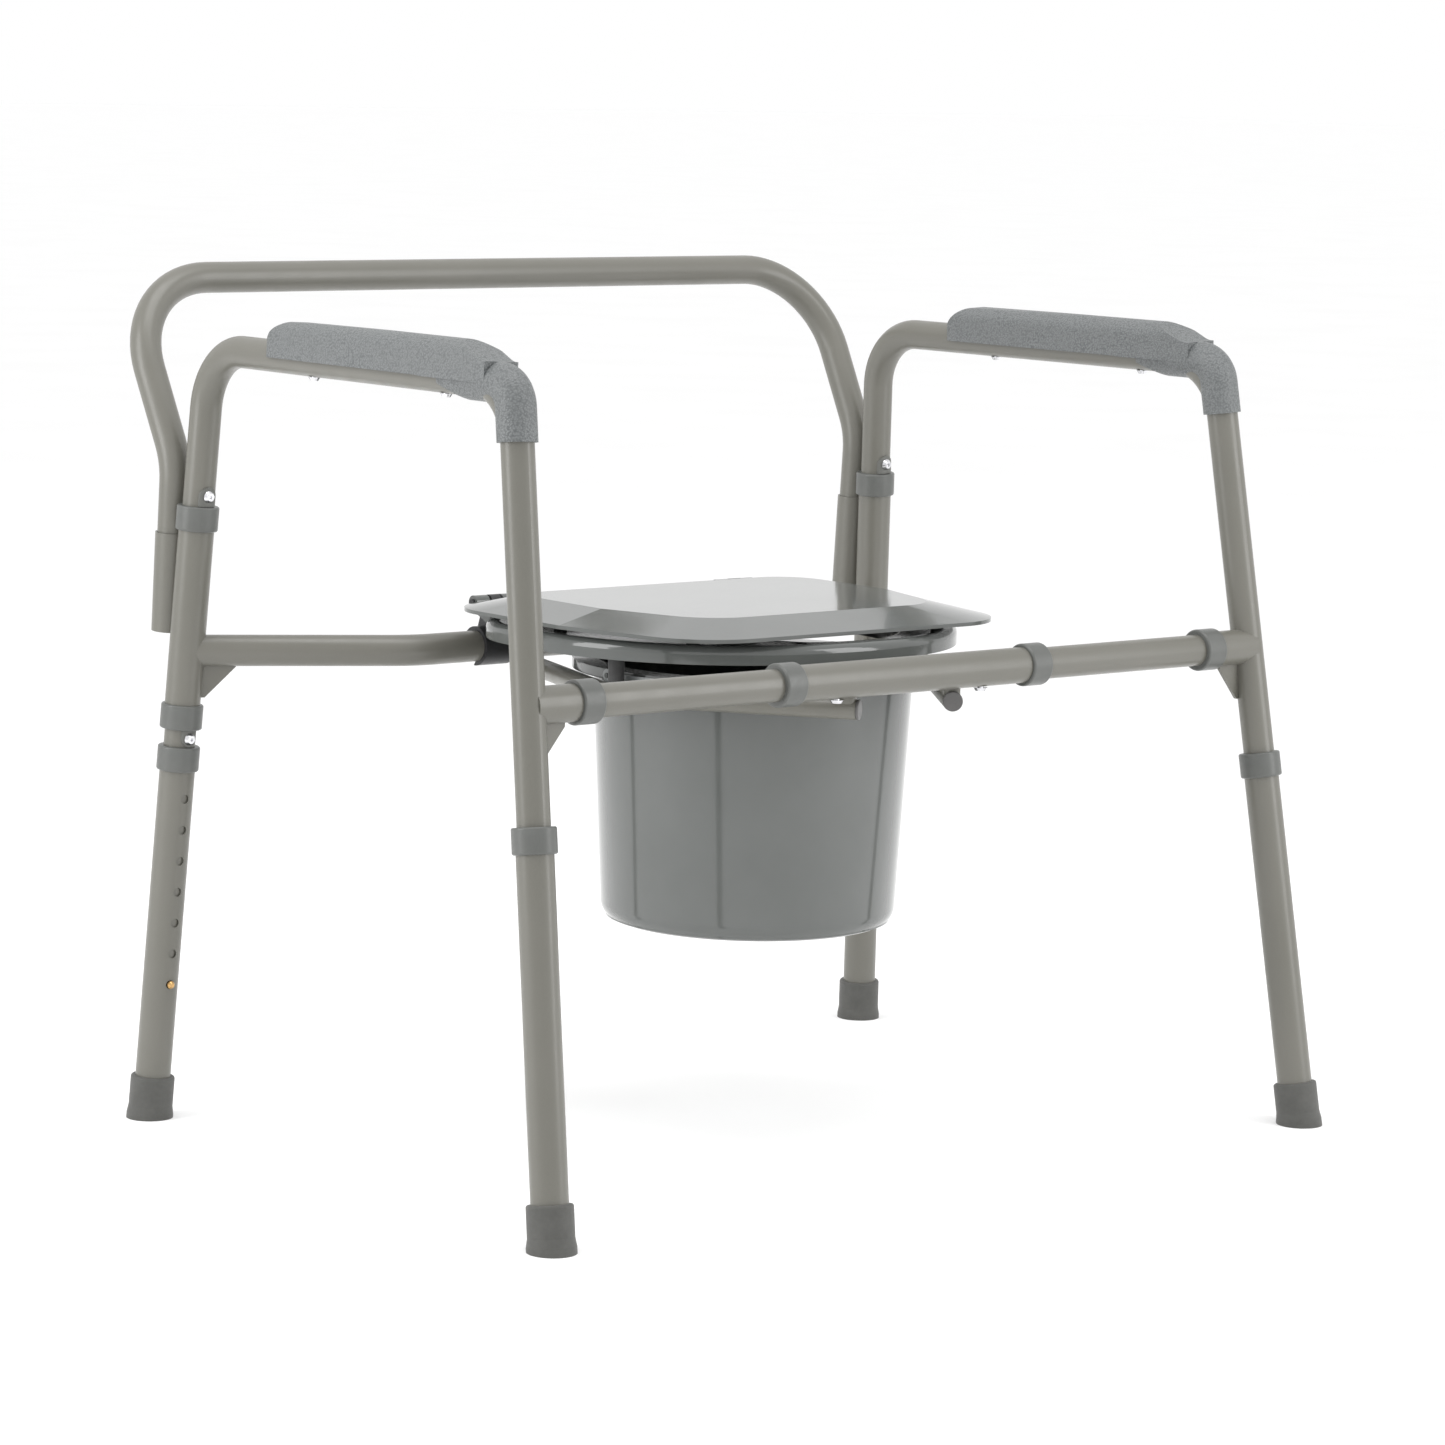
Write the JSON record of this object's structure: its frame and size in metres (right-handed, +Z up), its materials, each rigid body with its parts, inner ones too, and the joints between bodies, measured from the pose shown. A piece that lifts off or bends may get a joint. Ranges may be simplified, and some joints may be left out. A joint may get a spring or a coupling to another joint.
{
  "type": "toilet safety frame",
  "caption": "Wide steel bedside commode frame with moulded arm rests, back bar, height-adjustable legs, hinged seat and lid, and a lift-out pail.",
  "frame": {"origin": "floor level, under the middle of the whole footprint", "axes": "+Z up, the front faces -Y, +X is to the right seen from the front"},
  "size_m": [0.8218, 0.6496, 0.6877],
  "materials": {
    "bush_plastic": "satin moulded",
    "button_brass": "polished",
    "cap_plastic": "satin moulded",
    "clip_plastic": "satin moulded",
    "frame_paint": "satin powder coat",
    "handle_plastic": "gloss",
    "lid_plastic": "gloss",
    "pad_plastic": "pebbled",
    "pail_plastic": "gloss",
    "rubber_bumper": "matte",
    "rubber_tip": "matte",
    "screw_chrome": "polished",
    "seat_plastic": "gloss",
    "washer_plastic": "satin moulded"
  },
  "bodies": {
    "rear_frame": {"back_socket_left": "frame_paint", "back_socket_right": "frame_paint", "crossbar_centre_bushes": "bush_plastic", "crossbar_centre_tube": "frame_paint", "crossbar_inner_tube_left": "frame_paint", "crossbar_inner_tube_right": "frame_paint", "crossbar_screws": "screw_chrome", "pail_rail_left": "frame_paint", "pail_rail_right": "frame_paint", "post_bushes_lower": "bush_plastic", "post_bushes_upper": "bush_plastic", "post_sleeve_left": "frame_paint", "post_sleeve_right": "frame_paint", "rail_end_caps": "cap_plastic", "rail_saddles": "frame_paint", "rear_crossbar": "frame_paint", "rear_gussets": "frame_paint", "seat_clip_left": "clip_plastic", "seat_clip_right": "clip_plastic"},
    "back_bar": {"back_bar": "frame_paint"},
    "seat": {"seat_ring": "seat_plastic", "seat_bumpers": "rubber_bumper"},
    "lid": {"lid_panel": "lid_plastic", "lid_bumpers": "rubber_bumper"},
    "pail": {"pail": "pail_plastic", "pail_handle": "handle_plastic"},
    "arm_left": {"arm_tube_left": "frame_paint", "crossbar_stub_left": "frame_paint", "crossbar_stub_bush_left": "bush_plastic", "saddle_washers_left": "washer_plastic", "post_stop_screws_left": "screw_chrome", "arm_pad_left": "pad_plastic", "pad_screws_left": "screw_chrome"},
    "arm_right": {"arm_tube_right": "frame_paint", "crossbar_stub_right": "frame_paint", "crossbar_stub_bush_right": "bush_plastic", "saddle_washers_right": "washer_plastic", "post_stop_screws_right": "screw_chrome", "arm_pad_right": "pad_plastic", "pad_screws_right": "screw_chrome"},
    "leg_front_left": {"leg_extension_front_left": "frame_paint", "leg_bush_front_left": "bush_plastic", "leg_tip_front_left": "rubber_tip"},
    "button_front_left": {"snap_button_front_left": "button_brass"},
    "leg_front_right": {"leg_extension_front_right": "frame_paint", "leg_bush_front_right": "bush_plastic", "leg_tip_front_right": "rubber_tip"},
    "button_front_right": {"snap_button_front_right": "button_brass"},
    "leg_rear_left": {"leg_extension_rear_left": "frame_paint", "leg_bush_rear_left": "bush_plastic", "leg_tip_rear_left": "rubber_tip"},
    "button_rear_left": {"snap_button_rear_left": "button_brass"},
    "leg_rear_right": {"leg_extension_rear_right": "frame_paint", "leg_bush_rear_right": "bush_plastic", "leg_tip_rear_right": "rubber_tip"},
    "button_rear_right": {"snap_button_rear_right": "button_brass"}
  },
  "joints": [
    {"name": "seat_hinge", "type": "hinge", "parent": "rear_frame", "child": "seat", "pos_m": [0, 0.1265, 0.419], "axis": [-1, 0, 0], "range_deg": [0, 95]},
    {"name": "lid_hinge", "type": "hinge", "parent": "seat", "child": "lid", "pos_m": [0, 0.1265, 0.419], "axis": [-1, 0, 0], "range_deg": [0, 105]},
    {"name": "back_bar_slide", "type": "slide", "parent": "rear_frame", "child": "back_bar", "axis": [0, -0.0553, 0.9985], "range_m": [0, 0.09]},
    {"name": "pail_lift", "type": "slide", "parent": "rear_frame", "child": "pail", "axis": [0, 0, 1], "range_m": [0, 0.012]},
    {"name": "arm_swing_left", "type": "hinge", "parent": "rear_frame", "child": "arm_left", "pos_m": [-0.36512, 0.21614, 0.4], "axis": [-0.0451, 0.0553, -0.9975], "range_deg": [0, 90]},
    {"name": "arm_swing_right", "type": "hinge", "parent": "rear_frame", "child": "arm_right", "pos_m": [0.36512, 0.21614, 0.4], "axis": [-0.0451, -0.0553, 0.9975], "range_deg": [0, 90]},
    {"name": "leg_height_front_left", "type": "slide", "parent": "arm_left", "child": "leg_front_left", "axis": [-0.045, -0.159, -0.9863], "range_m": [0, 0.1524]},
    {"name": "button_press_front_left", "type": "slide", "parent": "arm_left", "child": "button_front_left", "axis": [0.0072, -0.9873, 0.1588], "range_m": [0, 0.0052], "stiffness_N_per_m": 900},
    {"name": "leg_height_front_right", "type": "slide", "parent": "arm_right", "child": "leg_front_right", "axis": [0.045, -0.159, -0.9863], "range_m": [0, 0.1524]},
    {"name": "button_press_front_right", "type": "slide", "parent": "arm_right", "child": "button_front_right", "axis": [-0.0072, -0.9873, 0.1588], "range_m": [0, 0.0052], "stiffness_N_per_m": 900},
    {"name": "leg_height_rear_left", "type": "slide", "parent": "arm_left", "child": "leg_rear_left", "axis": [-0.0451, 0.0553, -0.9975], "range_m": [0, 0.1524]},
    {"name": "button_press_rear_left", "type": "slide", "parent": "arm_left", "child": "button_rear_left", "axis": [0.0025, 0.9985, 0.0552], "range_m": [0, 0.0052], "stiffness_N_per_m": 900},
    {"name": "leg_height_rear_right", "type": "slide", "parent": "arm_right", "child": "leg_rear_right", "axis": [0.0451, 0.0553, -0.9975], "range_m": [0, 0.1524]},
    {"name": "button_press_rear_right", "type": "slide", "parent": "arm_right", "child": "button_rear_right", "axis": [-0.0025, 0.9985, 0.0552], "range_m": [0, 0.0052], "stiffness_N_per_m": 900}
  ]
}
